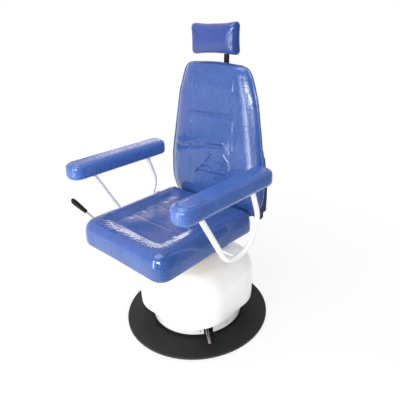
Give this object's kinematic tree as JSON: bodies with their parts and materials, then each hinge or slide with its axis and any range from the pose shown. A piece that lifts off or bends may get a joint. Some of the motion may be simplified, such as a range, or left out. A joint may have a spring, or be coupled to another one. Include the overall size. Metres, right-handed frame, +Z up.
{
  "type": "medical treatment chair",
  "caption": "Treatment chair on a round floor plate: padded seat that lifts and swivels, fixed padded armrests on bent tube, tall reclining back and an adjustable headrest.",
  "frame": {"origin": "on the floor under the centre of the round base, on the swivel axis", "axes": "+Z up, the sitter faces -Y, +X is towards the sitter's left"},
  "size_m": [0.8489, 0.7429, 1.3091],
  "materials": {
    "blue_vinyl": "glossy blue vinyl with a fine grain",
    "white_paint": "gloss white powder coat",
    "white_plastic": "gloss white moulded shell",
    "black_paint": "matt black powder coat",
    "plain_steel": "plain zinc-plated steel",
    "bright_steel": "bright plated steel",
    "black_plastic": "satin black moulding",
    "rubber": "matt black sheet rubber",
    "bronze": "turned bearing bronze",
    "plywood": "plain plywood"
  },
  "bodies": {
    "base": {"floor_pad": "rubber", "base_plate": "black_paint", "skirt_ring": "black_paint", "lower_skirt": "white_paint", "skirt_screw_0": "bright_steel", "skirt_screw_1": "bright_steel", "skirt_screw_2": "bright_steel", "skirt_screw_3": "bright_steel", "column_cylinder": "plain_steel", "column_bolt_0": "plain_steel", "column_bolt_1": "plain_steel", "column_bolt_2": "plain_steel", "column_bolt_3": "plain_steel", "guide_bush": "bronze", "lock_stud": "plain_steel"},
    "swivel_lock": {"lock_cam": "plain_steel", "lock_rod": "bright_steel"},
    "lift": {"lift_ram": "bright_steel", "ram_piston": "black_plastic", "swivel_bearing": "bright_steel"},
    "seat": {"turntable": "plain_steel", "shroud": "white_plastic", "riser_channel_left": "white_paint", "riser_channel_right": "white_paint", "seat_plate": "white_paint", "seat_board": "plywood", "seat_cushion": "blue_vinyl", "arm_loop_left": "white_paint", "arm_loop_right": "white_paint", "arm_strap_left": "plain_steel", "arm_strap_right": "plain_steel", "arm_pad_left": "blue_vinyl", "arm_pad_right": "blue_vinyl", "hinge_arm_left": "black_paint", "hinge_arm_right": "black_paint", "hinge_shaft": "black_paint", "lever_bracket": "plain_steel", "lever_pin": "bright_steel"},
    "recline_lever": {"lever_rod": "bright_steel", "lever_grip": "black_plastic"},
    "backrest": {"back_shell": "blue_vinyl", "back_cushion": "blue_vinyl", "hinge_ear_left": "black_paint", "hinge_ear_right": "black_paint", "headrest_guide": "black_plastic"},
    "clamp": {"clamp_knob": "black_plastic"},
    "post": {"headrest_post": "black_paint"},
    "headrest": {"headrest_board": "black_plastic", "headrest_cushion": "blue_vinyl", "tilt_bracket": "black_paint", "tilt_pin": "bright_steel"}
  },
  "joints": [
    {"name": "lock_swing", "type": "hinge", "parent": "base", "child": "swivel_lock", "pos_m": [0.06086, -0.04296, 0], "axis": [0, 0, 1], "range_deg": [0, 9]},
    {"name": "seat_lift", "type": "slide", "parent": "base", "child": "lift", "axis": [0, 0, 1], "range_m": [0, 0.16]},
    {"name": "seat_swivel", "type": "hinge", "parent": "lift", "child": "seat", "pos_m": [0, 0, 0.3], "axis": [0, 0, 1], "continuous": true},
    {"name": "recline_lift", "type": "hinge", "parent": "seat", "child": "recline_lever", "pos_m": [-0.19, -0.3, 0.438], "axis": [0, 1, 0], "range_deg": [0, 12], "stiffness_Nm_per_rad": 2.5, "springref_deg": -20.05},
    {"name": "back_recline", "type": "hinge", "parent": "seat", "child": "backrest", "pos_m": [0, 0.1618, 0.512], "axis": [-1, 0, 0], "range_deg": [0, 75]},
    {"name": "clamp_turn", "type": "hinge", "parent": "backrest", "child": "clamp", "pos_m": [0, 0.24026, 1.04645], "axis": [0, 0.9984, -0.0558], "range_deg": [0, 270]},
    {"name": "headrest_height", "type": "slide", "parent": "backrest", "child": "post", "axis": [0, 0.0558, 0.9984], "range_m": [0, 0.1]},
    {"name": "headrest_tilt", "type": "hinge", "parent": "post", "child": "headrest", "pos_m": [0, 0.23718, 1.24393], "axis": [1, 0, 0], "range_deg": [-30, 12]}
  ]
}
